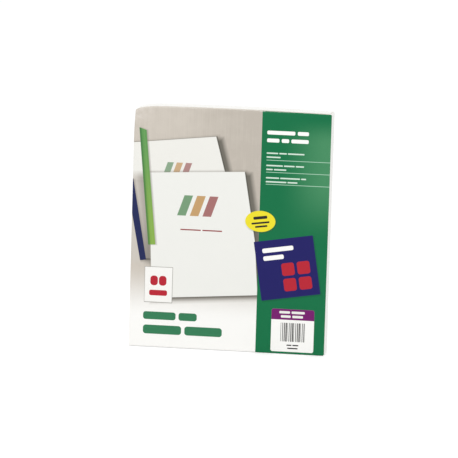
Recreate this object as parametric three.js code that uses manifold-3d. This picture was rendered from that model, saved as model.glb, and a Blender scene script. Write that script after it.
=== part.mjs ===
// A sealed folding carton of clear report covers with slide bars, standing upright as on a shop shelf.
// Millimetres, +Z up. The origin is the middle of the base, and the printed front faces -Y.
// One blank of white board is folded round the contents and glued, so the closed pack is one solid.

import * as THREE from "three";
import { mergeVertices } from "three/addons/utils/BufferGeometryUtils.js";
import Module from "manifold-3d";

const wasm = await Module();
wasm.setup();

// Carton, with its height at the corners
const CARTON_WIDTH = 240;
const CARTON_DEPTH = 32;
const CARTON_HEIGHT = 295;
const BOARD = 0.5;
const CORNER_RADIUS = 1.2;
const END_FOLD_RADIUS = 1.6;

// Outer flap of each end closure, hinged at a long edge and glued down on the flaps below it
const FLAP_SETBACK = 2;
const FLAP_SIDE_GAP = 1.2;
const FLAP_TAPER = 1.5;
const FLAP_CORNER = 2.5;

// Glued seam, where the back panel's raw edge stops short of the corner
const SEAM_SETBACK = 1.5;

// Top closure, pushed up in the middle by the contents
const CROWN = 1.2;
const CROWN_BAND = 14;

// Crushed upper corner at the left of the front
const CRUSH_DROP = 4.6;
const CRUSH_REACH = 42;
const CRUSH_HEIGHT = 46;
const CRUSH_PUSH = 1.2;
const CRUSH_PINCH = 1.4;

// Fineness: the steps of a fold, of the crown, of the crush, of a printed corner and of the ground's fade
const FOLD_STEPS = 3;
const CROWN_STEPS = 8;
const CRUSH_STEPS = 5;
const PRINT_STEPS = 2;
const FADE_STEPS = 2;
const SNAP = 0.02;

// Print on the front. A line of words is a bar, listed by its width.
// Green column down the right, with its heading, and text rows over rules
const COLUMN_WIDTH = 84;
const COLUMN_MARGIN = 6.5;
const HEADING_DROP = 28;
const HEADING_HEIGHT = 4;
const HEADING_PITCH = 9.3;
const HEADING_WORDS = [39, 47];
const TEXT_DROP = 51.6;
const TEXT_PITCH = 15;
const TEXT_WORDS = [[47, 17], [44, 24], [41, 38]];
const ROW_HEIGHT = 1.6;
const ROW_PITCH = 4.8;
const RULE_DROP = 7.4;
const RULE_HEIGHT = 0.6;

// Yellow oval over the column's edge, with its bars as width, height and rise from the middle
const OVAL_WIDTH = 36.8;
const OVAL_HEIGHT = 25.8;
const OVAL_CENTRE = 161;
const OVAL_OFFSET = 1.3;
const OVAL_STEPS = 16;
const OVAL_BARS = [[19, 4, 1.6], [15, 2.4, -4.6]];

// Navy tile on the column, its squares and its bars
const TILE_SIDE = 72.5;
const TILE_CORNER = 0.6;
const TILE_TILT = 9.3;
const TILE_CENTRE = 105.5;
const TILE_FROM_RIGHT = 48.3;
const TILE_MARGIN = 9;
const TILE_SQUARE = 12;
const TILE_SQUARE_GAP = 3.5;
const TILE_BARS = [26, 17];

// White label at the foot of the column, its bars as width, height, rise and ink, and its stripes
const LABEL_WIDTH = 52.3;
const LABEL_HEIGHT = 52.5;
const LABEL_BASE = 2.8;
const LABEL_FROM_RIGHT = 13.1;
const LABEL_HEADER = 13.2;
const LABEL_CORNER = 2.5;
const LABEL_BARS = [[30, 3.4, 44, "page"], [15, 1.4, 7.6, "black"]];
const STRIPES_WIDTH = 29.5;
const STRIPES_HEIGHT = 23;
const STRIPES_BASE = 15.4;
const STRIPES = 7;

// White card with its bars, and the title under it
const CARD_LEFT = 18.2;
const CARD_BASE = 55.9;
const CARD_WIDTH = 33.6;
const CARD_HEIGHT = 42.8;
const CARD_BARS = [[20, 11, 20.5], [22.5, 6, 8.6]];
const TITLE_LEFT = 17.2;
const TITLE_BASE = 18.8;
const TITLE_HEIGHT = 7.6;
const TITLE_PITCH = 17;
const TITLE_WORDS = [95, 66];

// Pale ground of the front: between these heights the stone colour fades to white
const FADE_HIGH = 102;
const FADE_LOW = 44;

// Pictured covers: two white pages with a slide bar each, as corner points from the lower left of the front
const BACK_PAGE = [[1.2, 213], [118, 200], [100.8, 261.7], [1.2, 250.5]];
const BACK_BAR = [[0, 175], [11.7, 106.1], [19, 107.4], [0.8, 206], [0, 206]];
const FRONT_PAGE = [[26.9, 59.6], [156.6, 69], [152.1, 136.3], [137.2, 220.5], [21, 214.3], [24.1, 125.9]];
const FRONT_BAR = [[21.1, 125.9], [29.9, 126.3], [15.4, 266], [6.6, 268.8]];
const GAP_SHADE = [[19, 107.4], [24, 108], [21.1, 125.9], [11.2, 213], [0.8, 206]];
const PAGE_SHADOW = 3.2;
const MOTIF_CENTRE = [84, 178];
const TWIN_CENTRE = [57, 219];
const MOTIF_SIZE = 15;

const LEFT = -CARTON_WIDTH / 2;
const FRONT = -CARTON_DEPTH / 2;
const COLUMN_LEFT = CARTON_WIDTH - COLUMN_WIDTH;
const TEXT_LEFT = COLUMN_LEFT + COLUMN_MARGIN;

const inks = {
  board: new THREE.Color(0xf4f2ee),
  stone: new THREE.Color(0xd0c8bc),
  shade: new THREE.Color(0xa39c93),
  page: new THREE.Color(0xf1f0ec),
  green: new THREE.Color(0x267c50),
  lime: new THREE.Color(0x7fb452),
  navy: new THREE.Color(0x2b2d66),
  yellow: new THREE.Color(0xf0e132),
  purple: new THREE.Color(0x781e6e),
  red: new THREE.Color(0xbc2a38),
  black: new THREE.Color(0x2c2a2a),
  tan: new THREE.Color(0xbe8c3c),
  maroon: new THREE.Color(0x96404a),
};

function corners(pairs) {
  return pairs.map(([x, y]) => new THREE.Vector2(x, y));
}

function roundedRectangle(left, low, width, height, radius) {
  const shape = new THREE.Shape();
  const right = left + width;
  const high = low + height;
  shape.moveTo(left + radius, low);
  shape.lineTo(right - radius, low);
  shape.absarc(right - radius, low + radius, radius, -Math.PI / 2, 0);
  shape.lineTo(right, high - radius);
  shape.absarc(right - radius, high - radius, radius, 0, Math.PI / 2);
  shape.lineTo(left + radius, high);
  shape.absarc(left + radius, high - radius, radius, Math.PI / 2, Math.PI);
  shape.lineTo(left, low + radius);
  shape.absarc(left + radius, low + radius, radius, Math.PI, 1.5 * Math.PI);
  return shape;
}

// Where the crown and the crushed corner put a point of the square carton.
function settled({ x, y, z }) {
  const below = CARTON_HEIGHT - z;
  const across = (2 * x) / CARTON_WIDTH;
  const rise = CROWN * (1 - across * across) * THREE.MathUtils.smoothstep(-below, -CROWN_BAND, 0);
  const near = Math.max(0, 1 - (x - LEFT) / CRUSH_REACH) ** 3;
  const crush = near * Math.max(0, 1 - below / CRUSH_HEIGHT) ** 2;
  const pinch = (CRUSH_PINCH * crush) / (CARTON_DEPTH / 2);
  return new THREE.Vector3(x + CRUSH_PUSH * crush, y * (1 - pinch), z + rise - CRUSH_DROP * crush);
}

// A closed geometry as a solid.
function solidOf(geometry) {
  const bare = new THREE.BufferGeometry();
  const loose = geometry.index ? geometry.toNonIndexed() : geometry;
  bare.setAttribute("position", loose.getAttribute("position"));
  const merged = mergeVertices(bare, 1e-4);
  return new wasm.Manifold(
    new wasm.Mesh({
      numProp: 3,
      vertProperties: merged.getAttribute("position").array,
      triVerts: new Uint32Array(merged.index.array),
    }),
  );
}

// An outline seen from the right end, with y to the right and z up, extruded across the carton's width.
function acrossWidth(shape, width, bevel = { bevelEnabled: false }) {
  const geometry = new THREE.ExtrudeGeometry(shape, { depth: width, curveSegments: FOLD_STEPS, ...bevel });
  return geometry.rotateX(Math.PI / 2).rotateZ(Math.PI / 2).translate(-width / 2, 0, 0);
}

// The folded tube with its inner and dust flaps: all of the carton but its two outer flaps.
function tube() {
  const [inFront, behind] = [FRONT + END_FOLD_RADIUS, -FRONT - END_FOLD_RADIUS];
  const [low, high] = [BOARD + END_FOLD_RADIUS, CARTON_HEIGHT - BOARD - END_FOLD_RADIUS];
  const outline = new THREE.Shape();
  outline.absarc(behind, low, END_FOLD_RADIUS, -Math.PI / 2, 0);
  outline.absarc(behind, high, END_FOLD_RADIUS, 0, Math.PI / 2);
  outline.absarc(inFront, high, END_FOLD_RADIUS, Math.PI / 2, Math.PI);
  outline.absarc(inFront, low, END_FOLD_RADIUS, Math.PI, 1.5 * Math.PI);
  const geometry = acrossWidth(outline, CARTON_WIDTH - 2 * CORNER_RADIUS, {
    bevelThickness: CORNER_RADIUS,
    bevelSize: CORNER_RADIUS,
    bevelOffset: -CORNER_RADIUS,
    bevelSegments: FOLD_STEPS,
  });
  return solidOf(geometry);
}

// One outer flap: hinged over the edge at +Y, with a raw free edge at -Y, and its upper face at height 0.
// The place puts it on the top or turns it under the base.
function outerFlap(place) {
  const hinge = CARTON_DEPTH / 2;
  const bend = hinge - END_FOLD_RADIUS;
  const free = FRONT + FLAP_SETBACK;
  const seat = -BOARD - END_FOLD_RADIUS;
  const profile = new THREE.Shape();
  profile.moveTo(FRONT, seat);
  profile.lineTo(hinge, seat);
  profile.absarc(bend, -END_FOLD_RADIUS, END_FOLD_RADIUS, 0, Math.PI / 2);
  profile.lineTo(FRONT, 0);
  const sheet = acrossWidth(profile, CARTON_WIDTH - 2 * FLAP_SIDE_GAP);

  const wide = CARTON_WIDTH / 2 - FLAP_SIDE_GAP;
  const narrow = wide - FLAP_TAPER;
  const plan = new THREE.Shape();
  plan.moveTo(-CARTON_WIDTH, CARTON_DEPTH);
  plan.lineTo(-CARTON_WIDTH, bend);
  plan.lineTo(-wide, bend);
  plan.lineTo(-narrow, free + FLAP_CORNER);
  plan.quadraticCurveTo(-narrow, free, FLAP_CORNER - narrow, free);
  plan.lineTo(narrow - FLAP_CORNER, free);
  plan.quadraticCurveTo(narrow, free, narrow, free + FLAP_CORNER);
  plan.lineTo(wide, bend);
  plan.lineTo(CARTON_WIDTH, bend);
  plan.lineTo(CARTON_WIDTH, CARTON_DEPTH);
  const depth = CARTON_DEPTH;
  const cutter = new THREE.ExtrudeGeometry(plan, { depth, curveSegments: FOLD_STEPS, bevelEnabled: false });
  cutter.translate(0, 0, -depth / 2);
  return solidOf(sheet.applyMatrix4(place)).intersect(solidOf(cutter.applyMatrix4(place)));
}

// The back panel's raw edge stands one board proud of the glue tab beside it.
function seamCut() {
  const length = CARTON_HEIGHT - 2 * (BOARD + 2 * END_FOLD_RADIUS);
  const box = new THREE.BoxGeometry(2 * SEAM_SETBACK, 2 * BOARD, length);
  return solidOf(box.translate(LEFT, -FRONT, CARTON_HEIGHT / 2));
}

// A solid's surface: points, and triangles of three point numbers each.
function surfaceOf(solid) {
  const { vertProperties, numProp, triVerts } = solid.getMesh();
  const points = [];
  for (let i = 0; i < vertProperties.length; i += numProp) {
    points.push(new THREE.Vector3().fromArray(vertProperties, i));
  }
  const triangles = [];
  for (let i = 0; i < triVerts.length; i += 3) {
    triangles.push([...triVerts.slice(i, i + 3)]);
  }
  return { points, triangles };
}

const top = new THREE.Matrix4().makeTranslation(0, 0, CARTON_HEIGHT);
const base = new THREE.Matrix4().makeRotationX(Math.PI);
const { points, triangles } = surfaceOf(tube().add(outerFlap(top)).add(outerFlap(base)).subtract(seamCut()));

// Puts a new point on the edge between two, in each triangle at that edge, so that no crack opens.
function splitEdge(from, to, place) {
  const added = points.push(place) - 1;
  for (let t = triangles.length - 1; t >= 0; t -= 1) {
    const triangle = triangles[t];
    if (triangle.includes(from) && triangle.includes(to)) {
      triangles[t] = triangle.map((i) => (i === from ? added : i));
      triangles.push(triangle.map((i) => (i === to ? added : i)));
    }
  }
}

// Adds points where edges cross a plane, from a height upwards, so that the surface can bend there.
function bendAt(axis, place, low, right = CARTON_WIDTH) {
  for (let t = 0; t < triangles.length; t += 1) {
    for (let k = 0; k < 3; k += 1) {
      const [from, to] = [triangles[t][k], triangles[t][(k + 1) % 3]];
      const [a, b] = [points[from][axis] - place, points[to][axis] - place];
      if (a * b > 0 || Math.min(Math.abs(a), Math.abs(b)) < SNAP) continue;
      const cross = points[from].clone().lerp(points[to], a / (a - b));
      if (cross.z < low - SNAP || cross.x > right + SNAP) continue;
      splitEdge(from, to, cross);
      k = -1;
    }
  }
}

const crownLow = CARTON_HEIGHT - CROWN_BAND;
const crushLow = CARTON_HEIGHT - CRUSH_HEIGHT;
const crushRight = LEFT + CRUSH_REACH;
bendAt("z", crownLow, crownLow);
bendAt("z", (crownLow + CARTON_HEIGHT) / 2, crownLow);
for (let i = 1; i < CROWN_STEPS; i += 1) {
  const x = LEFT + (CARTON_WIDTH * i) / CROWN_STEPS;
  if (x > crushRight) bendAt("x", x, crownLow);
}
for (let i = 1; i <= CRUSH_STEPS; i += 1) {
  const share = (i / CRUSH_STEPS) ** 1.5;
  bendAt("x", LEFT + CRUSH_REACH * share, crushLow);
  bendAt("z", CARTON_HEIGHT - CROWN_BAND - (CRUSH_HEIGHT - CROWN_BAND) * share, crushLow, crushRight);
}

function isFront([i, j, k]) {
  return new THREE.Triangle(points[i], points[j], points[k]).getNormal(new THREE.Vector3()).y < -0.5;
}

// A point in the front view, from the front's lower left corner.
function flat(point) {
  return new THREE.Vector2(point.x - LEFT, point.z);
}

// Makes a corner of an outline a point of the surface, where the front has room for it.
function pin(corner) {
  const triangle = triangles.find((candidate) => {
    if (!isFront(candidate)) return false;
    const [a, b, c] = candidate.map((i) => flat(points[i]));
    return [[a, b], [b, c], [c, a]].every(([p, q]) => q.clone().sub(p).cross(corner.clone().sub(p)) >= 0);
  });
  if (!triangle) return;
  const [a, b, c] = triangle.map((i) => flat(points[i]));
  if ([a, b, c].some((point) => point.distanceTo(corner) < SNAP)) return;
  const seen = [a, b, c].map(({ x, y }) => new THREE.Vector3(x, y, 0));
  const spot = new THREE.Vector3(corner.x, corner.y, 0);
  const shares = THREE.Triangle.getBarycoord(spot, ...seen, new THREE.Vector3());
  const place = new THREE.Vector3();
  triangle.forEach((i, k) => place.addScaledVector(points[i], shares.getComponent(k)));
  for (let k = 0; k < 3; k += 1) {
    const [p, q, r] = [0, 1, 2].map((n) => [a, b, c][(k + n) % 3]);
    const away = q.clone().sub(p).cross(r.clone().sub(p)) / p.distanceTo(q);
    if (shares.getComponent((k + 2) % 3) * away < SNAP) {
      splitEdge(triangle[k], triangle[(k + 1) % 3], place);
      return;
    }
  }
  const added = points.push(place) - 1;
  const [i, j, k] = triangle;
  triangles[triangles.indexOf(triangle)] = [i, j, added];
  triangles.push([j, k, added], [k, i, added]);
}

// Makes a straight stretch of an outline run along edges of the surface, where it can be seen.
function cutAlong(start, end, isHidden) {
  const along = end.clone().sub(start).normalize();
  const length = start.distanceTo(end);
  const sideOf = ({ x, z }) => (z - start.y) * along.x - (x - LEFT - start.x) * along.y;
  const reachOf = ({ x, z }) => (x - LEFT - start.x) * along.x + (z - start.y) * along.y;
  for (let t = 0; t < triangles.length; t += 1) {
    for (let k = 0; k < 3; k += 1) {
      const [from, to] = [triangles[t][k], triangles[t][(k + 1) % 3]];
      const [a, b] = [sideOf(points[from]), sideOf(points[to])];
      if (a * b > 0 || Math.min(Math.abs(a), Math.abs(b)) < SNAP) continue;
      const place = points[from].clone().lerp(points[to], a / (a - b));
      const reach = reachOf(place);
      if (reach < -SNAP || reach > length + SNAP || !isFront(triangles[t])) continue;
      if (isHidden(flat(place), along)) continue;
      splitEdge(from, to, place);
      k = -1;
    }
  }
}

// Fields of ink, each over the ones before it. Outlines are in front view, from the lower left of the front.
const fields = [];

function paint(outline, ink) {
  fields.push({ outline, ink });
}

function paintBox(left, low, width, height, ink) {
  const right = left + width;
  const high = low + height;
  paint(corners([[left, low], [right, low], [right, high], [left, high]]), ink);
}

// Stone colour over the whole front, from the fold at the left to past the fold at the right.
function paintGround() {
  const wide = CARTON_WIDTH + 2;
  paintBox(-1, FADE_HIGH, wide, 2 * CARTON_HEIGHT, inks.stone);
  const step = (FADE_HIGH - FADE_LOW) / FADE_STEPS;
  for (let i = 0; i < FADE_STEPS; i += 1) {
    paintBox(-1, FADE_LOW + i * step, wide, step, inks.stone);
  }
  paintBox(-1, -1, wide, FADE_LOW + 1, inks.stone);
}

function shadowOf(pairs) {
  return corners(pairs.map(([x, y]) => [x + PAGE_SHADOW, y - PAGE_SHADOW]));
}

// Three leaning lozenges, the plain sign on a pictured page.
function paintMotif([x, y]) {
  const wide = 0.7 * MOTIF_SIZE;
  const lean = 0.4 * MOTIF_SIZE;
  const low = y - MOTIF_SIZE / 2;
  const high = low + MOTIF_SIZE;
  [inks.green, inks.tan, inks.maroon].forEach((ink, i) => {
    const left = x + (i - 1.5) * MOTIF_SIZE;
    const right = left + wide;
    paint(corners([[left, low], [right, low], [right + lean, high], [left + lean, high]]), ink);
  });
}

// The two pictured covers, each a page with its shadow and its slide bar.
function paintCovers() {
  paint(corners(BACK_PAGE), inks.page);
  paintMotif(TWIN_CENTRE);
  paint(corners(GAP_SHADE), inks.shade);
  paint(corners(BACK_BAR), inks.navy);
  paint(shadowOf(FRONT_PAGE), inks.shade);
  paint(corners(FRONT_PAGE), inks.page);
  paint(corners(FRONT_BAR), inks.lime);
  paintMotif(MOTIF_CENTRE);
  const [x, y] = MOTIF_CENTRE;
  paintBox(x - 1.6 * MOTIF_SIZE, y - 2.1 * MOTIF_SIZE, 3.3 * MOTIF_SIZE, ROW_HEIGHT, inks.maroon);
}

function paintColumn() {
  paintBox(COLUMN_LEFT, -1, COLUMN_WIDTH + 1, 2 * CARTON_HEIGHT, inks.green);
  HEADING_WORDS.forEach((width, i) => {
    paintBox(TEXT_LEFT, CARTON_HEIGHT - HEADING_DROP - i * HEADING_PITCH, width, HEADING_HEIGHT, inks.page);
  });
  TEXT_WORDS.forEach(([upper, lower], i) => {
    const low = CARTON_HEIGHT - TEXT_DROP - i * TEXT_PITCH;
    paintBox(TEXT_LEFT, low, upper, ROW_HEIGHT, inks.page);
    paintBox(TEXT_LEFT, low - ROW_PITCH, lower, ROW_HEIGHT, inks.page);
    const length = CARTON_WIDTH - TEXT_LEFT - CORNER_RADIUS;
    paintBox(TEXT_LEFT, low - RULE_DROP, length, RULE_HEIGHT, inks.page);
  });
}

function paintOval() {
  const x = COLUMN_LEFT + OVAL_OFFSET;
  const oval = new THREE.EllipseCurve(x, OVAL_CENTRE, OVAL_WIDTH / 2, OVAL_HEIGHT / 2);
  paint(oval.getPoints(OVAL_STEPS).slice(1), inks.yellow);
  OVAL_BARS.forEach(([width, height, rise]) => {
    paintBox(x - width / 2, OVAL_CENTRE + rise, width, height, inks.black);
  });
}

// A navy tile turned a little on the column, with four red squares low at its right
// and two white bars high at its left.
function paintTile() {
  const turn = THREE.MathUtils.degToRad(TILE_TILT);
  const middle = new THREE.Vector2(CARTON_WIDTH - TILE_FROM_RIGHT, TILE_CENTRE);
  const origin = new THREE.Vector2();
  const half = TILE_SIDE / 2;
  const paintTurned = (left, low, width, height, radius, ink) => {
    const shape = roundedRectangle(left - half, low - half, width, height, radius);
    paint(shape.getPoints(PRINT_STEPS).map((point) => point.rotateAround(origin, turn).add(middle)), ink);
  };
  paintTurned(0, 0, TILE_SIDE, TILE_SIDE, TILE_CORNER, inks.navy);
  const pitch = TILE_SQUARE + TILE_SQUARE_GAP;
  for (let column = 1; column <= 2; column += 1) {
    for (let row = 0; row < 2; row += 1) {
      const left = TILE_SIDE - TILE_MARGIN + TILE_SQUARE_GAP - column * pitch;
      paintTurned(left, TILE_MARGIN + row * pitch, TILE_SQUARE, TILE_SQUARE, TILE_SQUARE / 5, inks.red);
    }
  }
  TILE_BARS.forEach((width, i) => {
    const low = TILE_SIDE - TILE_MARGIN - HEADING_HEIGHT - 2 * HEADING_HEIGHT * i;
    paintTurned(TILE_MARGIN, low, width, HEADING_HEIGHT, HEADING_HEIGHT / 3, inks.page);
  });
}

function paintLabel() {
  const left = CARTON_WIDTH - LABEL_FROM_RIGHT - LABEL_WIDTH;
  const middle = left + LABEL_WIDTH / 2;
  const head = LABEL_BASE + LABEL_HEIGHT - LABEL_HEADER;
  const whole = roundedRectangle(left, LABEL_BASE, LABEL_WIDTH, LABEL_HEIGHT, LABEL_CORNER);
  paint(whole.getPoints(PRINT_STEPS), inks.page);
  const header = roundedRectangle(left, head, LABEL_WIDTH, LABEL_HEADER, LABEL_CORNER);
  paint(header.getPoints(PRINT_STEPS), inks.purple);
  LABEL_BARS.forEach(([width, height, rise, ink]) => {
    paintBox(middle - width / 2, LABEL_BASE + rise, width, height, inks[ink]);
  });
  const pitch = STRIPES_WIDTH / STRIPES;
  for (let i = 0; i < STRIPES; i += 1) {
    const width = pitch * (0.3 + 0.15 * ((3 * i) % 4));
    paintBox(middle - STRIPES_WIDTH / 2 + i * pitch, STRIPES_BASE, width, STRIPES_HEIGHT, inks.black);
  }
}

function paintCard() {
  paintBox(CARD_LEFT, CARD_BASE, CARD_WIDTH, CARD_HEIGHT, inks.board);
  const middle = CARD_LEFT + CARD_WIDTH / 2;
  CARD_BARS.forEach(([width, height, rise]) => {
    paintBox(middle - width / 2, CARD_BASE + rise, width, height, inks.red);
  });
}

function paintTitle() {
  TITLE_WORDS.forEach((width, i) => {
    paintBox(TITLE_LEFT, TITLE_BASE + i * TITLE_PITCH, width, TITLE_HEIGHT, inks.green);
  });
}

function isInside(outline, { x, y }) {
  let inside = false;
  outline.forEach((a, i) => {
    const b = outline[(i + 1) % outline.length];
    if (a.y > y !== b.y > y && x < a.x + ((b.x - a.x) * (y - a.y)) / (b.y - a.y)) inside = !inside;
  });
  return inside;
}

// The number of the uppermost field over a triangle of the front, from a lowest number, or -1.
function fieldOf(triangle, lowest = 0) {
  if (!isFront(triangle)) return -1;
  const middle = new THREE.Vector2();
  triangle.forEach((i) => middle.addScaledVector(flat(points[i]), 1 / 3));
  return fields.findLastIndex(({ outline }, n) => n >= lowest && isInside(outline, middle));
}

// Turns the edges inside one field that its triangles are narrow at, on the flat of the front.
function broaden(lowest) {
  const sharers = new Map();
  triangles.forEach((triangle, t) => {
    if (triangle.some((i) => Math.abs(points[i].y - FRONT) > 1e-4)) return;
    triangle.forEach((i, k) => {
      const j = triangle[(k + 1) % 3];
      const edge = `${Math.min(i, j)} ${Math.max(i, j)}`;
      sharers.set(edge, [...(sharers.get(edge) ?? []), t]);
    });
  });
  const angleAt = (i, j, k) => {
    const [p, q] = [points[j].clone().sub(points[i]), points[k].clone().sub(points[i])];
    return p.angleTo(q);
  };
  const turned = new Set();
  for (const [edge, [s, t]] of sharers) {
    if (t === undefined || turned.has(s) || turned.has(t)) continue;
    const ends = edge.split(" ").map(Number);
    const [c, d] = [s, t].map((n) => triangles[n].find((i) => !ends.includes(i)));
    const k = triangles[s].indexOf(c);
    const [a, b] = [triangles[s][(k + 1) % 3], triangles[s][(k + 2) % 3]];
    if (angleAt(c, a, b) + angleAt(d, a, b) < Math.PI + 0.01) continue;
    if (fieldOf(triangles[s], lowest) !== fieldOf(triangles[t], lowest)) continue;
    triangles[s] = [a, d, c];
    triangles[t] = [d, b, c];
    turned.add(s).add(t);
  }
  return turned.size;
}

// Cuts the fields into the front from the uppermost down, leaving out what a field above covers.
function cutFields() {
  for (let n = fields.length - 1; n >= 0; n -= 1) {
    const { outline } = fields[n];
    const above = fields.slice(n + 1);
    const isHidden = (point, along) => {
      const step = along.clone().multiplyScalar(2 * SNAP);
      const [before, after] = [point.clone().sub(step), point.clone().add(step)];
      return above.some((field) => isInside(field.outline, before) && isInside(field.outline, after));
    };
    const sides = [new THREE.Vector2(1, 0), new THREE.Vector2(0, 1)];
    outline.filter((corner) => !sides.every((side) => isHidden(corner, side))).forEach(pin);
    outline.forEach((corner, i) => cutAlong(corner, outline[(i + 1) % outline.length], isHidden));
    for (let pass = 0; pass < 6 && broaden(n) > 0; pass += 1);
  }
}

function printedGeometry() {
  const places = [];
  const colours = [];
  for (const triangle of triangles) {
    const ink = fields[fieldOf(triangle)]?.ink ?? inks.board;
    for (const point of triangle.map((i) => points[i])) {
      const fade = ink === inks.stone ? THREE.MathUtils.smoothstep(point.z, FADE_LOW, FADE_HIGH) : 1;
      places.push(...settled(point).toArray());
      colours.push(...inks.board.clone().lerp(ink, fade).toArray());
    }
  }
  const geometry = new THREE.BufferGeometry();
  geometry.setAttribute("position", new THREE.Float32BufferAttribute(places, 3));
  geometry.setAttribute("color", new THREE.Float32BufferAttribute(colours, 3));
  geometry.computeVertexNormals();
  return geometry;
}

paintGround();
paintCovers();
paintColumn();
paintOval();
paintTile();
paintLabel();
paintCard();
paintTitle();
cutFields();
// Coated board with a satin print. The colours are in the geometry, over the board's white.
const coatedBoard = new THREE.MeshStandardMaterial({
  color: 0xffffff,
  vertexColors: true,
  roughness: 0.42,
  metalness: 0,
});

const part = new THREE.Group();
const cartonMesh = new THREE.Mesh(printedGeometry(), coatedBoard);
cartonMesh.name = "carton";
part.add(cartonMesh);

export default part;
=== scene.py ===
# %% [markdown]
# # A sealed carton of report covers
# The object is a slim retail carton: one sheet of white board, printed on its front, folded into a tube and
# glued shut at both ends. One upper corner has been crushed. The solid model fixes where everything is, and
# this lesson gives it its folds, its raw edges, its printed front and its light. We start with that frame.

# %% Load the frame
import math

import bpy
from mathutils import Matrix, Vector


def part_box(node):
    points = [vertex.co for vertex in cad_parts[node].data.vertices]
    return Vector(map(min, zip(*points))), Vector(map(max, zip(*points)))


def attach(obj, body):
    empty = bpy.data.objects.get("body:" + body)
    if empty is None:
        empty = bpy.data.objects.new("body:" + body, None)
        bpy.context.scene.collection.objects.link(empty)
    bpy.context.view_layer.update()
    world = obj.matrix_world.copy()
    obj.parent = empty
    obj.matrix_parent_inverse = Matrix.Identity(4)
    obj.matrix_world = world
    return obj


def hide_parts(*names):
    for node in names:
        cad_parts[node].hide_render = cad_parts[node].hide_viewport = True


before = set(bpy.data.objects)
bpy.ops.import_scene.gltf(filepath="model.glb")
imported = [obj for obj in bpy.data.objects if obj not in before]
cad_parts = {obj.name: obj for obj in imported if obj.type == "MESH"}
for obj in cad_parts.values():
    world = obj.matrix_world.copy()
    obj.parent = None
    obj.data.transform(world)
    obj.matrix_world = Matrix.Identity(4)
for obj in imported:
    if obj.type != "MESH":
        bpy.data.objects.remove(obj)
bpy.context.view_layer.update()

low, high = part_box("carton")
print("carton from", [round(v, 4) for v in low], "to", [round(v, 4) for v in high])

# %% [markdown]
# ## The camera
# The photograph was taken from far away with a long lens, a little above the carton and to its right, so its
# upright edges stay parallel. We set the lens in millimetres of a 36 mm frame, place the camera on a line
# from the carton's middle, and roll it by the small tilt that the photograph has.

# %% Camera
YAW, PITCH, ROLL = math.radians(7.37), math.radians(8.58), math.radians(1.72)
DISTANCE = 4.959
TARGET = Vector((-0.0026, 0.0, 0.1474))

bpy.ops.object.select_all(action="DESELECT")
line_of_sight = Vector((math.sin(YAW) * math.cos(PITCH), -math.cos(YAW) * math.cos(PITCH), math.sin(PITCH)))
bpy.ops.object.camera_add(location=TARGET + DISTANCE * line_of_sight)
camera = bpy.context.object
camera.name = "camera"
camera.data.lens = 321.0
camera.data.sensor_width = 36.0
camera.data.clip_end = 100.0
camera.rotation_mode = "QUATERNION"
looking = (-line_of_sight).to_track_quat("-Z", "Y")
camera.rotation_quaternion = looking @ Vector((1, 0, 0)).rotation_difference(
    Vector((math.cos(ROLL), math.sin(ROLL), 0))
)
bpy.context.scene.camera = camera
print("camera at", [round(v, 3) for v in camera.location], "lens", camera.data.lens)

# %% [markdown]
# ## The folded tube
# The real tube is one board folded four times. A box is the right start, because all its panels are flat.
# Its edges are then rounded by the radius that 0.5 mm board takes when it is folded on a crease.

# %% Sizes, in metres
WIDTH, DEPTH, HEIGHT = 0.240, 0.032, 0.295
BOARD = 0.0005
FOLD = 0.0014
FLAP_SETBACK, FLAP_GAP, FLAP_TAPER, FLAP_CORNER = 0.002, 0.0012, 0.0015, 0.0025
SEAM_SETBACK = 0.0015
CROWN, CROWN_BAND = 0.0012, 0.014
CRUSH_DROP, CRUSH_REACH, CRUSH_HEIGHT = 0.0042, 0.042, 0.046
CRUSH_PUSH, CRUSH_PINCH = 0.0012, 0.0014
LEFT, FRONT = -WIDTH / 2, -DEPTH / 2
print("board", BOARD * 1000, "mm thick, folded at", FOLD * 1000, "mm radius")


# %% Helpers for boxes and for choosing edges
def box_between(name, lowest, highest):
    """A cube primitive at its size and place, with its place in its mesh."""
    bpy.ops.object.select_all(action="DESELECT")
    middle = [(a + b) / 2 for a, b in zip(lowest, highest)]
    size = [b - a for a, b in zip(lowest, highest)]
    bpy.ops.mesh.primitive_cube_add(size=1, location=middle, scale=size)
    made = bpy.context.object
    made.name = name
    bpy.ops.object.transform_apply(location=True, rotation=True, scale=True)
    return made


def choose_edges(piece, wanted):
    """Selects the edges for which wanted(start, end) is true, and leaves the piece in edit mode."""
    bpy.context.view_layer.objects.active = piece
    bpy.ops.object.mode_set(mode="EDIT")
    bpy.ops.mesh.select_mode(type="EDGE")
    bpy.ops.mesh.select_all(action="DESELECT")
    bpy.ops.object.mode_set(mode="OBJECT")
    points = piece.data.vertices
    count = 0
    for edge in piece.data.edges:
        edge.select = wanted(*(points[i].co for i in edge.vertices))
        count += edge.select
    bpy.ops.object.mode_set(mode="EDIT")
    return count


def bevel_edges(piece, wanted, radius, segments):
    """Rounds the chosen edges of a piece."""
    count = choose_edges(piece, wanted)
    bpy.ops.mesh.bevel(offset=radius, segments=segments, affect="EDGES")
    bpy.ops.object.mode_set(mode="OBJECT")
    print(piece.name, "rounds", count, "edges by", radius * 1000, "mm")


# %% The tube
carton = box_between("carton_board", (LEFT, FRONT, BOARD), (-LEFT, -FRONT, HEIGHT - BOARD))
bevel_edges(carton, lambda a, b: True, FOLD, 4)

# %% [markdown]
# ## The outer flaps
# Each end is closed by an outer flap that folds over the back or front edge and is glued down on the flaps
# below. What we see is a sheet one board thick, a little narrower than the carton, with a raw edge that stops
# short of the far fold. A low block buried in the tube shows exactly that much, and joins cleanly.


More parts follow.
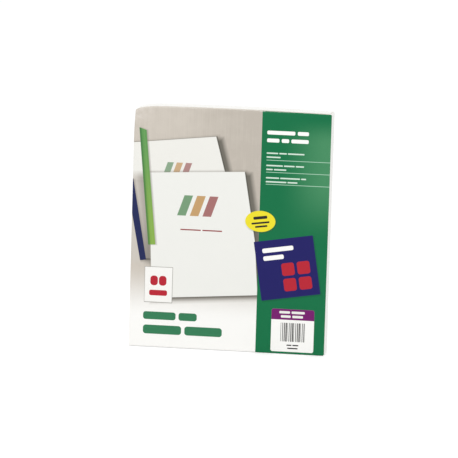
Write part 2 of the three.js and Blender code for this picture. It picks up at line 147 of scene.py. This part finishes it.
# %% One flap, copied for the base
def outer_flap(name, up):
    """A flap over the top (up = 1), hinged at the back, or under the base (up = -1), hinged at the front."""
    face = HEIGHT if up > 0 else 0.0
    deep = face - up * (BOARD + FOLD)
    free, hinge = up * (FRONT + FLAP_SETBACK), -up * FRONT
    side = WIDTH / 2 - FLAP_GAP
    flap = box_between(
        name, (-side, min(free, hinge), min(face, deep)), (side, max(free, hinge), max(face, deep))
    )
    bevel_edges(flap, lambda a, b: abs(a.y - hinge) + abs(b.y - hinge) < 1e-6 and abs(a.z - face) < 1e-6
                and abs(b.z - face) < 1e-6, FOLD, 4)
    bevel_edges(flap, lambda a, b: abs(a.y - free) + abs(b.y - free) < 1e-6 and abs(a.x - b.x) < 1e-6,
                FLAP_CORNER, 4)
    for point in flap.data.vertices:
        share = abs(point.co.y - hinge) / (DEPTH - FLAP_SETBACK)
        point.co.x -= math.copysign(FLAP_TAPER * share, point.co.x)
    return flap


def combine(piece, other, operation):
    """Joins or cuts with a Boolean modifier, applies it, and removes the other piece."""
    bpy.ops.object.select_all(action="DESELECT")
    bpy.context.view_layer.objects.active = piece
    modifier = piece.modifiers.new(operation.lower(), "BOOLEAN")
    modifier.operation, modifier.solver, modifier.object = operation, "EXACT", other
    bpy.ops.object.modifier_apply(modifier=modifier.name)
    bpy.data.objects.remove(other, do_unlink=True)
    print(piece.name, operation.lower(), "->", len(piece.data.polygons), "faces")


combine(carton, outer_flap("top_flap", 1), "UNION")
combine(carton, outer_flap("base_flap", -1), "UNION")

# %% [markdown]
# ## The glued seam
# At the back, the last panel is stuck over a narrow glue tab. Its raw edge stops just short of the corner,
# so a shallow step runs up the back at the left of the front. We cut it with a thin bar.

# %% Seam
ends = BOARD + 2 * FOLD
seam = box_between("seam", (LEFT - SEAM_SETBACK, -FRONT - BOARD, ends),
                   (LEFT + SEAM_SETBACK, -FRONT + BOARD, HEIGHT - ends))
combine(carton, seam, "DIFFERENCE")

# %% [markdown]
# ## Rows and columns to bend
# A panel needs edges where it bends. Bisect adds them as straight cuts through the whole carton, with no new
# shape: close together at the crushed corner, and wider apart where the board only waves a little.


# %% Bisect the carton
def cut_across(piece, place, normal):
    """Adds edges where a plane crosses the piece."""
    bpy.ops.mesh.select_all(action="SELECT")
    bpy.ops.mesh.bisect(plane_co=place, plane_no=normal)


bpy.context.view_layer.objects.active = carton
bpy.ops.object.mode_set(mode="EDIT")
CRUSHED_STEP = 0.0016
columns = [LEFT + CRUSHED_STEP * i for i in range(1, 19)] + [LEFT + 0.032 + 0.008 * i for i in range(26)]
rows = [0.010 * i for i in range(1, 25)] + [0.2490 + 0.0060 * i for i in range(4)]
rows += [0.2705 + CRUSHED_STEP * i for i in range(14)]
for x in columns:
    cut_across(carton, (x, 0, 0), (1, 0, 0))
for z in rows:
    cut_across(carton, (0, 0, z), (0, 0, 1))
for y in (-0.008, 0.0, 0.008):
    cut_across(carton, (0, y, 0), (0, 1, 0))
bpy.ops.object.mode_set(mode="OBJECT")
print(len(columns), "columns and", len(rows), "rows give", len(carton.data.polygons), "faces")

# %% [markdown]
# ## Three kinds of surface
# The front is printed and varnished, the other panels are bare white board, and the cut edges of the flaps
# and the seam show the board's grey core. We choose the faces while the carton is still square, because
# then a place or a normal says exactly which one a face is.

# %% Faces by finish
PRINTED, BARE, RAW = 0, 1, 2
HAIR, INSET = 0.00001, 0.001


def finish_of(face):
    """Which finish a face of the square carton has. The print wraps a little round the front's folds."""
    x, y, z = face.center
    in_end_flap = z > HEIGHT - BOARD - HAIR or z < BOARD + HAIR
    if in_end_flap and abs(face.normal.z) < 0.3 and abs(y) < DEPTH / 2 - INSET:
        return RAW
    in_seam = y > -FRONT - 2 * BOARD and INSET < x - LEFT < SEAM_SETBACK + INSET
    if in_seam and face.normal.x < -0.9:
        return RAW
    return PRINTED if face.normal.y < -0.35 and y < FRONT + 2 * INSET else BARE


for kind in (PRINTED, BARE, RAW):
    carton.data.materials.append(None)
for face in carton.data.polygons:
    face.material_index = finish_of(face)
counts = [sum(face.material_index == kind for face in carton.data.polygons) for kind in (PRINTED, BARE, RAW)]
print("printed, bare and raw faces:", counts)

# %% [markdown]
# ## The crown, the crushed corner and the waves
# The contents push the top up a little in the middle. The crushed corner sinks towards its own corner, in a
# curve that dies out 42 mm along the top and 46 mm down the side, and a slight crease slants across it. Board
# is never quite flat either, so the front and the back wave by two to four tenths of a millimetre, which is
# what makes their sheen look like card and not glass.

# %% Crease and wave
CREASE_DEPTH, CREASE_WIDTH, CREASE_REACH = 0.0006, 0.0019, 0.024
CREASE_HEIGHT, CREASE_SLOPE = 0.2862, 0.42
WAVE_DEPTH = 0.00022
FOLD_BAND = 0.0008


# %% Bend every point
def on_large_panel(p):
    """Whether a point lies on the front or the back, and not in a fold or on a side."""
    return abs(p.y) > DEPTH / 2 - FOLD_BAND


def settled(p):
    """Where the crown, the crushed corner and its crease put a point of the square carton."""
    below, aside = HEIGHT - p.z, p.x - LEFT
    share = min(1.0, max(0.0, 1 - below / CROWN_BAND))
    rise = CROWN * (1 - (2 * p.x / WIDTH) ** 2) * share * share * (3 - 2 * share)
    crush = max(0.0, 1 - aside / CRUSH_REACH) ** 3 * max(0.0, 1 - below / CRUSH_HEIGHT) ** 2
    pinch = 1 - CRUSH_PINCH * crush / (DEPTH / 2)
    inward = 0.0
    if on_large_panel(p):
        from_crease = CREASE_SLOPE * aside + p.z - CREASE_HEIGHT
        crease = math.exp(-((from_crease / CREASE_WIDTH) ** 2)) * max(0.0, 1 - aside / CREASE_REACH)
        inward = -math.copysign(CREASE_DEPTH * crease, p.y)
    return Vector((p.x + CRUSH_PUSH * crush, p.y * pinch + inward, p.z + rise - CRUSH_DROP * crush))


def wave(p):
    """How far a panel stands in from flat at a point: nothing at its folds, most in its middle."""
    across = math.cos(math.pi * p.x / WIDTH)
    along = math.sin(math.pi * min(1.0, max(0.0, p.z / HEIGHT)))
    ripple = 0.6 * math.sin(31 * p.x + 17 * p.z) + 0.4 * math.sin(53 * p.z - 23 * p.x + 1.3)
    return WAVE_DEPTH * across * along * (1 + ripple)


for point in carton.data.vertices:
    inward = -math.copysign(wave(point.co), point.co.y) if on_large_panel(point.co) else 0.0
    moved = settled(point.co)
    point.co = Vector((moved.x, moved.y + inward, moved.z))
print("crushed corner now at", round(max(v.co.z for v in carton.data.vertices if v.co.x < LEFT + 0.003), 4))

# %% [markdown]
# ## Smooth folds, crisp edges
# Folds should shade smoothly and raw edges should stay sharp, so we shade smooth only below 35 degrees.

# %% Shade the folds
bpy.ops.object.select_all(action="DESELECT")
carton.select_set(True)
bpy.context.view_layer.objects.active = carton
bpy.ops.object.mode_set(mode="EDIT")
bpy.ops.mesh.select_all(action="SELECT")
bpy.ops.mesh.remove_doubles(threshold=1e-6)
bpy.ops.mesh.normals_make_consistent(inside=False)
bpy.ops.object.mode_set(mode="OBJECT")
bpy.ops.object.shade_smooth_by_angle(angle=math.radians(35))
print("carton has", len(carton.data.polygons), "faces, at", tuple(carton.location))

# %% [markdown]
# ## Inks
# The print is flat colour with soft printed shadows. Each ink is written as the sRGB number that it should
# show, and turned into the linear value that Blender's shaders work in.


# %% Colours
def ink(red, green, blue):
    """A linear colour from sRGB numbers out of 255."""
    def linear(value):
        value /= 255
        return value / 12.92 if value <= 0.04045 else ((value + 0.055) / 1.055) ** 2.4
    return (linear(red), linear(green), linear(blue), 1.0)


WHITE_BOARD = ink(251, 250, 247)
STONE, STONE_DEEP = ink(207, 199, 188), ink(192, 184, 173)
PAPER_WHITE = ink(253, 252, 249)
SHADE = ink(134, 126, 117)
FILM_EDGE = ink(84, 82, 74)
PAGE_SHADE = ink(104, 101, 92)
PAGE, PAGE_BACK = ink(239, 239, 234), ink(238, 237, 231)
GREEN, GREEN_SHEEN = ink(20, 114, 71), ink(78, 146, 102)
LIME_TOP, LIME_FOOT = ink(98, 155, 88), ink(138, 176, 78)
NAVY_BAR, NAVY_TILE = ink(38, 45, 88), ink(34, 32, 100)
YELLOW, PURPLE, RED = ink(240, 225, 50), ink(120, 30, 110), ink(186, 40, 55)
BLACK, TAN, LEAF, MAROON = ink(44, 42, 42), ink(190, 140, 60), ink(75, 135, 80), ink(150, 60, 60)
TITLE = ink(56, 126, 88)
print("green ink is", [round(v, 3) for v in GREEN[:3]])

# %% [markdown]
# ## A small kit for shapes in a material
# A printed shape is a question about a place: how far is this point outside the shape? A few math nodes
# answer it in millimetres, and the answer, divided by a blur, is a mask. A sharp shape has a tenth of a
# millimetre of blur and a printed shadow has several. The places come from Object coordinates, so the print
# is fixed to the board from every side. We build the nodes with short functions, one per question.


# %% Node helpers
def start_nodes(owner):
    """Empties the node tree of a material or the world. The helpers below then build in it."""
    global tree
    owner.use_nodes = True
    tree = owner.node_tree
    tree.nodes.clear()
    return owner


def node(kind, inputs=(), **settings):
    """A node with its settings, and each input either linked or given a value."""
    made = tree.nodes.new(kind)
    for key, value in settings.items():
        setattr(made, key, value)
    for place, value in inputs:
        if isinstance(value, bpy.types.NodeSocket):
            tree.links.new(value, made.inputs[place])
        else:
            made.inputs[place].default_value = value
    return made


def number(operation, *values, clamp=False):
    """The result of a Math node."""
    return node("ShaderNodeMath", enumerate(values), operation=operation, use_clamp=clamp).outputs[0]


def vector(operation, *values):
    """The result of a Vector Math node."""
    made = node("ShaderNodeVectorMath", enumerate(values), operation=operation)
    return made.outputs["Value" if operation in ("LENGTH", "DOT_PRODUCT") else "Vector"]


def spot_on_carton():
    """The place on the carton, in metres."""
    return node("ShaderNodeTexCoord").outputs["Object"]


def place_on_front(spot):
    """Millimetres in the front view, from the lower left corner of the front, with nothing along y."""
    scaled = vector("MULTIPLY", spot, (1000, 0, 1000))
    return vector("ADD", scaled, (-1000 * LEFT, 0, 0))


# %% Distances to shapes
def rounded_box(place, left, low_edge, width, height, radius=0.3):
    """Distance outside an upright rectangle with rounded corners."""
    radius = min(radius, width / 2, height / 2)
    apart = vector("ABSOLUTE", vector("SUBTRACT", place, (left + width / 2, 0, low_edge + height / 2)))
    beyond = vector("SUBTRACT", apart, (width / 2 - radius, 0, height / 2 - radius))
    outside = vector("MAXIMUM", beyond, (0, 0, 0))
    return number("SUBTRACT", vector("LENGTH", outside), radius)


def ellipse(place, centre, width, height):
    """Distance outside an ellipse, close enough beside its outline."""
    apart = vector("DIVIDE", vector("SUBTRACT", place, (centre[0], 0, centre[1])), (width / 2, 1, height / 2))
    return number("MULTIPLY", number("SUBTRACT", vector("LENGTH", apart), 1), height / 2)


def convex(place, corners):
    """Distance outside a convex outline: the farthest of its sides, each seen as a half-plane."""
    area = sum(a[0] * b[1] - b[0] * a[1] for a, b in zip(corners, corners[1:] + corners[:1]))
    if area < 0:
        corners = corners[::-1]
    farthest = None
    for a, b in zip(corners, corners[1:] + corners[:1]):
        length = math.dist(a, b)
        normal = ((b[1] - a[1]) / length, 0, (a[0] - b[0]) / length)
        offset = normal[0] * a[0] + normal[2] * a[1]
        side = number("SUBTRACT", vector("DOT_PRODUCT", place, normal), offset)
        farthest = side if farthest is None else number("MAXIMUM", farthest, side)
    return farthest


def shifted(outline, right, up):
    """An outline moved over the front, for a shadow or an edge beside it."""
    return [(x + right, z + up) for x, z in outline]


def turned(place, centre, degrees):
    """The place as seen from a sheet that is turned about a centre, with that centre as its origin."""
    apart = vector("SUBTRACT", place, (centre[0], 0, centre[1]))
    spin = node("ShaderNodeVectorRotate", [("Vector", apart), ("Angle", math.radians(degrees))],
                rotation_type="Y_AXIS")
    return spin.outputs["Vector"]


def covered(distance, blur=0.12, strength=1.0):
    """A mask from a distance: 1 inside, 0 outside, and a soft edge between."""
    mask = number("MULTIPLY_ADD", distance, -1 / blur, 0.5, clamp=True)
    return mask if strength == 1.0 else number("MULTIPLY", mask, strength)


def lay(under, colour, mask):
    """Lays an ink over what is printed so far."""
    made = node("ShaderNodeMix", [("Factor", mask)], data_type="RGBA")
    for place, value in ((6, under), (7, colour)):
        if isinstance(value, bpy.types.NodeSocket):
            tree.links.new(value, made.inputs[place])
        else:
            made.inputs[place].default_value = value
    return made.outputs[2]


def ramp(value, start, end):
    """A smooth rise from 0 at the start to 1 at the end."""
    made = node("ShaderNodeMapRange", [("Value", value), ("From Min", start), ("From Max", end)],
                interpolation_type="SMOOTHSTEP")
    return made.outputs["Result"]


def noise(spot, scale, detail=3.0, stretch=(1, 1, 1)):
    """Soft noise on the carton, stretched where its three factors differ."""
    made = node("ShaderNodeTexNoise", [("Vector", vector("MULTIPLY", spot, stretch)), ("Scale", scale),
                                       ("Detail", detail)])
    return made.outputs["Fac"]


def bars(colour, place, items, shade, blur=0.12):
    """Words as rounded bars: left, low edge, width and height of each."""
    for left, low_edge, width, height in items:
        shape = rounded_box(place, left, low_edge, width, height, height / 3)
        colour = lay(colour, shade, covered(shape, blur))
    return colour


# %% [markdown]
# ## The printed front
# We lay the inks in the order that a printer would: the stone ground with its fine brushed streaks and its
# fade to white, the two pictured covers with their slide bars, then the green column with what stands on it.

# %% Ground
printed_board = start_nodes(bpy.data.materials.new("printed_board"))
spot = spot_on_carton()
place = place_on_front(spot)
split = node("ShaderNodeSeparateXYZ", [("Vector", place)])
across, up = split.outputs["X"], split.outputs["Z"]
streaks = noise(spot, 1.0, 4.0, (620, 0, 16))
clouds = noise(spot, 75, 3.0)
tone = number("MULTIPLY_ADD", streaks, 1.1, number("MULTIPLY_ADD", clouds, 1.0, ramp(across, 20, 160)))
colour = lay(STONE, STONE_DEEP, number("SUBTRACT", tone, 1.0, clamp=True))
colour = lay(colour, PAPER_WHITE, ramp(up, 104, 34))
print("ground nodes:", len(tree.nodes))


# %% Emblem of leaning lozenges
def emblem(under, place, centre, size, strength=1.0):
    """Three leaning lozenges, a plain sign for the pictured pages."""
    x, y = centre
    for step, shade in enumerate((LEAF, TAN, MAROON)):
        wide, lean = 0.42 * size, 0.34 * size
        left, low_edge = x + (step - 1.5) * 0.62 * size - lean / 2, y - size / 2
        outline = [(left, low_edge), (left + wide, low_edge),
                   (left + wide + lean, low_edge + size), (left + lean, low_edge + size)]
        under = lay(under, shade, covered(convex(place, outline), 0.3, strength))
    return under


# %% Back cover and its navy bar
BACK_PAGE = [(-2, 205), (117.7, 200), (100.6, 261.7), (-2, 250.1)]
BACK_BAR = [(-2, 175), (11.7, 106.1), (19, 107.4), (0.8, 206), (-2, 206)]
BEHIND_BAR = [(-3, 104), (27, 104), (23.5, 212), (-3, 212)]
STONE_SHADED = ink(206, 200, 191)
colour = lay(colour, SHADE, covered(convex(place, shifted(BACK_PAGE, 2.4, -1.0)), 9.0, 0.85))
colour = lay(colour, PAGE_SHADE, covered(convex(place, shifted(BACK_PAGE, 8.2, -1.8)), 6.0, 0.9))
colour = lay(colour, FILM_EDGE, covered(convex(place, shifted(BACK_PAGE, 1.5, 0.7)), 0.8, 0.7))
colour = lay(colour, PAGE_BACK, covered(convex(place, BACK_PAGE), 0.4))
colour = emblem(colour, place, (56, 219), 18, 0.75)
behind_bar = covered(convex(place, BEHIND_BAR), 9.0)
colour = lay(colour, STONE_SHADED, number("MULTIPLY", behind_bar, 0.9))
from_lime_bar = number("SUBTRACT", across, number("MULTIPLY_ADD", up, -0.1065, 33.5))
darker = number("MULTIPLY", ramp(from_lime_bar, -10, 1), behind_bar)
colour = lay(colour, SHADE, number("MULTIPLY", darker, 0.5))
darkest = number("MULTIPLY", darker, ramp(up, 170, 108))
colour = lay(colour, FILM_EDGE, number("MULTIPLY", darkest, 0.45))
colour = lay(colour, SHADE, covered(convex(place, shifted(BACK_BAR, 1.5, -1.2)), 3.5, 0.7))
colour = lay(colour, FILM_EDGE, covered(rounded_box(place, 18.2, 107, 8.5, 2), 1.2, 0.9))
colour = lay(colour, NAVY_BAR, covered(convex(place, BACK_BAR), 0.3))
print("back cover done, nodes:", len(tree.nodes))

# %% Front cover and its lime bar
FRONT_PAGE = [(26.9, 60.5), (156.6, 70.4), (151.4, 136.3), (136.6, 220.5), (21, 214.3), (24.1, 125.9)]
FRONT_BAR = [(21.1, 125.9), (29.9, 126.3), (15.4, 266), (6.6, 268.8)]
LIME_SHADE, LIME_LIGHT = ink(62, 116, 66), ink(150, 190, 120)
colour = lay(colour, SHADE, covered(convex(place, shifted(FRONT_PAGE, 1.6, 0.2)), 6.0, 0.9))
colour = lay(colour, SHADE, covered(convex(place, shifted(FRONT_PAGE, 1.6, -3.6)), 10.0, 0.9))
colour = lay(colour, PAGE_SHADE, covered(convex(place, shifted(FRONT_PAGE, 8.4, -1.8)), 6.0, 0.9))
colour = lay(colour, FILM_EDGE, covered(convex(place, shifted(FRONT_PAGE, 1.6, -0.5)), 0.8, 0.7))
colour = lay(colour, PAGE, covered(convex(place, FRONT_PAGE), 0.4))
colour = emblem(colour, place, (83, 176), 25, 0.85)
colour = bars(colour, place, [(60, 145.7, 25, 1.5), (87, 145.7, 24, 1.5)], MAROON)
colour = lay(colour, SHADE, covered(convex(place, shifted(FRONT_BAR, 1.6, 0)), 2.4, 0.6))
lime = lay(LIME_TOP, LIME_FOOT, ramp(up, 262, 132))
ridge = number("SUBTRACT", across, number("MULTIPLY_ADD", up, -0.1035, 39.3))
lime = lay(lime, LIME_SHADE, covered(number("ADD", ridge, 2.6), 2.2, 0.75))
lime = lay(lime, LIME_LIGHT, covered(number("ABSOLUTE", number("SUBTRACT", ridge, 0.6)), 2.0, 0.4))
colour = lay(colour, lime, covered(convex(place, FRONT_BAR), 0.3))
print("front cover done, nodes:", len(tree.nodes))

# %% Green column, with a painted highlight
COLUMN_LEFT, WORDS_LEFT, WORD_GAP = 156, 162.5, 1.4
HEADING_HEIGHT, SMALL_HEIGHT, PARAGRAPH_STEP, RULE_STEP = 4.6, 1.7, 15, 14.7
SMALL_INK, RULE_INK = ink(214, 232, 218), ink(176, 214, 190)
column = number("SUBTRACT", COLUMN_LEFT, across)
# Painted highlight: the green turns paler towards the column's upper right, where the varnish catches the
# light.
painted_sheen = number("MULTIPLY", ramp(across, 176, 238), number("MULTIPLY", ramp(up, 135, 215), ramp(up, 290, 258)))
green = lay(GREEN, GREEN_SHEEN, number("MULTIPLY", painted_sheen, 0.85))
colour = lay(colour, green, covered(column))
heading = [(left, low_edge, width, HEADING_HEIGHT) for left, low_edge, width in (
    (WORDS_LEFT, 267.4, 34), (199.5, 267.4, 13.5),
    (WORDS_LEFT, 257.9, 15), (180.3, 257.9, 9), (192, 257.9, 21))]
colour = bars(colour, place, heading, PAPER_WHITE)
paragraphs = [((14, 9, 20), (17,)), ((20, 13, 10), (8, 15)), ((16, 24, 6), (25, 12))]
small = []
for step, (upper, lower) in enumerate(paragraphs):
    for widths, top_low_edge in ((upper, 243.8), (lower, 239.0)):
        left = WORDS_LEFT
        for width in widths:
            small.append((left, top_low_edge - PARAGRAPH_STEP * step, width, SMALL_HEIGHT))
            left += width + WORD_GAP
colour = bars(colour, place, small, SMALL_INK)
for step in range(3):
    rule = rounded_box(place, WORDS_LEFT, 235.8 - RULE_STEP * step, 90, 0.7, 0.1)
    colour = lay(colour, RULE_INK, covered(rule, 0.2))
print("column done, nodes:", len(tree.nodes))

# %% Yellow oval
OVAL_MIDDLE, OVAL_SHADOW_MIDDLE = (157.3, 161), (158.4, 159.8)
OVAL_SHADE = ink(30, 84, 58)
colour = lay(colour, OVAL_SHADE, covered(ellipse(place, OVAL_SHADOW_MIDDLE, 37.4, 26.4), 2.2, 0.5))
colour = lay(colour, YELLOW, covered(ellipse(place, OVAL_MIDDLE, 36.8, 25.8)))
leaning = turned(place, OVAL_MIDDLE, 8)
colour = bars(colour, leaning, [(-8, 2.6, 17, 3.6), (-11, -3.0, 22, 2.2), (-7, -7.4, 15, 2.2)], BLACK)
print("oval done, nodes:", len(tree.nodes))

# %% Navy tile
TILE_MIDDLE, TILE_TURN, TILE_SIDE = (191.7, 105.5), 9.3, 72.5
TILE_SHADE = ink(20, 76, 50)
SQUARE_SIDE, SQUARE_STEP = 15.5, 19
tile = turned(place, TILE_MIDDLE, TILE_TURN)
half = TILE_SIDE / 2
shadow = rounded_box(tile, -half + 1, -half - 1.4, TILE_SIDE, TILE_SIDE, 1)
colour = lay(colour, TILE_SHADE, covered(shadow, 2.4, 0.5))
colour = lay(colour, NAVY_TILE, covered(rounded_box(tile, -half, -half, TILE_SIDE, TILE_SIDE, 0.8)))
for across_step in range(2):
    for up_step in range(2):
        left, low_edge = half - 43 + SQUARE_STEP * across_step, -half + 8 + SQUARE_STEP * up_step
        colour = lay(colour, RED, covered(rounded_box(tile, left, low_edge, SQUARE_SIDE, SQUARE_SIDE, 3)))
colour = bars(colour, tile, [(-half + 9, half - 15, 38, 5.5), (-half + 9, half - 24.5, 25, 5.5)], PAPER_WHITE)
print("tile done, nodes:", len(tree.nodes))

# %% Label with its purple header and stripes
LABEL_LEFT, LABEL_LOW, LABEL_WIDTH, LABEL_HEIGHT = 174.5, 2.8, 52.3, 52.5
HEADER_LOW, LABEL_CORNER = 42.1, 2.5
STRIPES, STRIPE_STEP, STRIPE_HEIGHT = 15, 2.0, 23
header_height = LABEL_LOW + LABEL_HEIGHT - HEADER_LOW
label = rounded_box(place, LABEL_LEFT, LABEL_LOW, LABEL_WIDTH, LABEL_HEIGHT, LABEL_CORNER)
colour = lay(colour, PAPER_WHITE, covered(label))
for height, radius in ((header_height, LABEL_CORNER), (5, 0.1)):
    header = rounded_box(place, LABEL_LEFT, HEADER_LOW, LABEL_WIDTH, height, radius)
    colour = lay(colour, PURPLE, covered(header))
header_words = [(184, 49.7, 13, 3), (199, 49.7, 16, 3), (186, 44.6, 12, 3), (200, 44.6, 13, 3)]
colour = bars(colour, place, header_words, PAGE)
for step in range(STRIPES):
    wide = 0.55 + 0.35 * ((5 * step) % 4)
    stripe = rounded_box(place, 186.2 + STRIPE_STEP * step, 15.4, wide, STRIPE_HEIGHT, 0.05)
    colour = lay(colour, BLACK, covered(stripe))
colour = bars(colour, place, [(194, 10.2, 6, 1.5), (201.2, 10.2, 7.2, 1.5), (195, 6.4, 12.6, 1.5)], BLACK)
print("label done, nodes:", len(tree.nodes))

# %% Card and title
CARD_EDGE, CARD = ink(128, 124, 116), ink(248, 247, 243)
colour = lay(colour, CARD_EDGE, covered(rounded_box(place, 17.8, 55.2, 34.6, 44.1, 0.4), 0.6, 0.85))
colour = lay(colour, CARD, covered(rounded_box(place, 18.2, 55.9, 33.6, 42.8, 0.4)))
colour = bars(colour, place, [(25, 76.2, 9.2, 12), (35.6, 76.2, 9.2, 12), (23.9, 63.8, 22, 6.8)], RED)
title = [(17.2, 34.2, 40, 9.6), (60.8, 34.2, 22.4, 9.6), (17.4, 16.4, 47, 11), (68.4, 16.4, 46, 11)]
colour = bars(colour, place, title, TITLE)
print("print done, nodes:", len(tree.nodes))

# %% [markdown]
# ## Wear, varnish and fibre
# Board rubs white along its folds and cracks where it was crushed, so a noisy mask close to the folds lets
# the white through. The varnish is satin: a middling roughness with a weak highlight, which a very fine
# fibre bump breaks up.


# %% Finish of the printed board
def fold_wear(spot, reach):
    """Close to a fold: 1 where two panels meet, 0 a reach away from it, broken by noise."""
    scaled = vector("MULTIPLY", spot, (1000, 1000, 1000))
    apart = vector("ABSOLUTE", vector("SUBTRACT", scaled, (0, 0, 1000 * HEIGHT / 2)))
    parts = node("ShaderNodeSeparateXYZ", [("Vector", apart)])
    near = [ramp(parts.outputs[axis], 500 * size - reach, 500 * size)
            for axis, size in (("X", WIDTH), ("Y", DEPTH), ("Z", HEIGHT))]
    folds = [number("MULTIPLY", near[a], near[b]) for a, b in ((0, 1), (0, 2), (1, 2))]
    fold = number("MAXIMUM", number("MAXIMUM", folds[0], folds[1]), folds[2])
    return number("MULTIPLY", fold, ramp(noise(spot, 110), 0.45, 0.75))


def paper_bump(spot, depth):
    """The normal of a surface of fine and broad paper fibre."""
    fine = noise(spot, 2600, 4.0)
    broad = noise(spot, 240, 3.0)
    mixed = number("MULTIPLY_ADD", fine, 0.6, number("MULTIPLY", broad, 0.4))
    made = node("ShaderNodeBump", [("Strength", 0.35), ("Distance", depth), ("Height", mixed)])
    return made.outputs["Normal"]


# %% Scuffed corner with a painted highlight, cracked crease and varnish
# Paler near the crushed corner: partly a noisy scuff, partly a painted highlight where the bent corner tilts
# towards the light.
SCUFF_AND_SHEEN = ink(226, 218, 210)
CRACK_HEIGHT = 284.6
from_corner = vector("MULTIPLY", vector("SUBTRACT", place, (0, 0, 291)), (1.0, 0, 1.6))
near_corner = ramp(vector("LENGTH", from_corner), 34, 2)
scuff_and_sheen = number("MULTIPLY", near_corner, ramp(noise(spot, 170, 4.0), 0.25, 0.7))
colour = lay(colour, SCUFF_AND_SHEEN, number("MULTIPLY", scuff_and_sheen, 0.6))
along_crease = number("MULTIPLY_ADD", across, CREASE_SLOPE, up)
crack = number("ABSOLUTE", number("SUBTRACT", along_crease, CRACK_HEIGHT))
cracked = number("MULTIPLY", covered(crack, 0.9, 0.4), ramp(across, 15, 4))
colour = lay(colour, PAPER_WHITE, cracked)
colour = lay(colour, WHITE_BOARD, number("MULTIPLY", fold_wear(spot, 0.9), 0.45))
roughness = number("MULTIPLY_ADD", noise(spot, 90), 0.14, 0.34)
surface = node("ShaderNodeBsdfPrincipled", [
    ("Base Color", colour), ("Roughness", roughness), ("Normal", paper_bump(spot, 0.00006)),
    ("Specular IOR Level", 0.16), ("IOR", 1.46)])
node("ShaderNodeOutputMaterial", [("Surface", surface.outputs[0])])
print("printed board has", len(tree.nodes), "nodes")

# %% [markdown]
# ## Bare board
# The other panels are the same clay-coated board with no ink. It is a warm white with faint cloudy fibre,
# duller than the varnished front, and it greys a little along its folds, where hands and shelves rub it.

# %% Bare board
CLOUD, FLECK, RUBBED = ink(247, 246, 242), ink(218, 212, 202), ink(224, 220, 212)
bare_board = start_nodes(bpy.data.materials.new("bare_board"))
spot = spot_on_carton()
colour = lay(WHITE_BOARD, CLOUD, ramp(noise(spot, 40, 3.0), 0.3, 0.8))
flecks = ramp(noise(spot, 1100, 2.0), 0.68, 0.80)
colour = lay(colour, FLECK, number("MULTIPLY", flecks, 0.2))
colour = lay(colour, RUBBED, number("MULTIPLY", fold_wear(spot, 1.6), 0.4))
roughness = number("MULTIPLY_ADD", noise(spot, 120), 0.12, 0.56)
surface = node("ShaderNodeBsdfPrincipled", [
    ("Base Color", colour), ("Roughness", roughness), ("Normal", paper_bump(spot, 0.0001)), ("IOR", 1.46)])
node("ShaderNodeOutputMaterial", [("Surface", surface.outputs[0])])
print("bare board has", len(tree.nodes), "nodes")

# %% [markdown]
# ## Raw edge
# A cut edge shows layers of fibre: slightly darker, rough, and striped along the cut.

# %% Raw edge
CORE, CORE_DARK = ink(214, 206, 192), ink(182, 172, 156)
raw_edge = start_nodes(bpy.data.materials.new("raw_edge"))
spot = spot_on_carton()
layers = noise(spot, 1.0, 4.0, (300, 300, 9000))
colour = lay(CORE, CORE_DARK, ramp(layers, 0.35, 0.7))
surface = node("ShaderNodeBsdfPrincipled", [
    ("Base Color", colour), ("Roughness", 0.85), ("Normal", paper_bump(spot, 0.0002)), ("IOR", 1.46)])
node("ShaderNodeOutputMaterial", [("Surface", surface.outputs[0])])
print("raw edge has", len(tree.nodes), "nodes")

# %% Put the finishes on the faces
for kind, finish in ((PRINTED, printed_board), (BARE, bare_board), (RAW, raw_edge)):
    carton.data.materials[kind] = finish
print("finishes:", [finish.name for finish in carton.data.materials])
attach(carton, "root")
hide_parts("carton")

# %% [markdown]
# ## Floor and light
# The carton stands on plain white paper. The floor is bright enough to pass for white where nothing shades
# it, and still takes a shadow. One broad soft lamp at the upper left gives the folds their shape, a weaker
# lamp at the right fills in, and the even world light keeps every ink close to the colour it was written in.

# %% Floor
bpy.ops.object.select_all(action="DESELECT")
bpy.ops.mesh.primitive_plane_add(size=60, location=(0, 0, -0.0002))
floor = bpy.context.object
floor.name = "floor"
floor_paper = start_nodes(bpy.data.materials.new("floor_paper"))
paper = node("ShaderNodeBsdfDiffuse", [("Color", (0.80, 0.80, 0.80, 1))])
seen = node("ShaderNodeLightPath")
glow = node("ShaderNodeEmission", [("Color", (1, 1, 1, 1)),
                                   ("Strength", number("MULTIPLY", seen.outputs["Is Camera Ray"], 0.32))])
both = node("ShaderNodeAddShader", [(0, paper.outputs[0]), (1, glow.outputs[0])])
node("ShaderNodeOutputMaterial", [("Surface", both.outputs[0])])
floor.data.materials.append(floor_paper)
print("floor has", len(tree.nodes), "nodes")

# %% World and lamps
LIT_PLACE = Vector((0, 0, 0.15))
bpy.context.scene.world = start_nodes(bpy.data.worlds.new("studio"))
path = node("ShaderNodeLightPath")
seen = number("MAXIMUM", path.outputs["Is Camera Ray"],
              number("MAXIMUM", path.outputs["Is Glossy Ray"], path.outputs["Is Transmission Ray"]))
level = number("MULTIPLY_ADD", seen, 0.12, 0.88)
sky = node("ShaderNodeBackground", [("Color", (1, 1, 1, 1)), ("Strength", level)])
node("ShaderNodeOutputWorld", [("Surface", sky.outputs[0])])


def lamp(name, place, size, power):
    """An area lamp that looks at the middle of the carton."""
    bpy.ops.object.select_all(action="DESELECT")
    bpy.ops.object.light_add(type="AREA", location=place)
    made = bpy.context.object
    made.name = name
    made.data.size = size
    made.data.energy = power
    made.rotation_mode = "QUATERNION"
    made.rotation_quaternion = (LIT_PLACE - Vector(place)).to_track_quat("-Z", "Y")
    print(name, "at", place, "with", power, "W")


lamp("key_lamp", (-1.1, -2.0, 1.9), 1.2, 16.5)
lamp("fill_lamp", (1.8, -1.6, 0.9), 1.6, 4.5)
bpy.context.scene.view_settings.view_transform = "Standard"
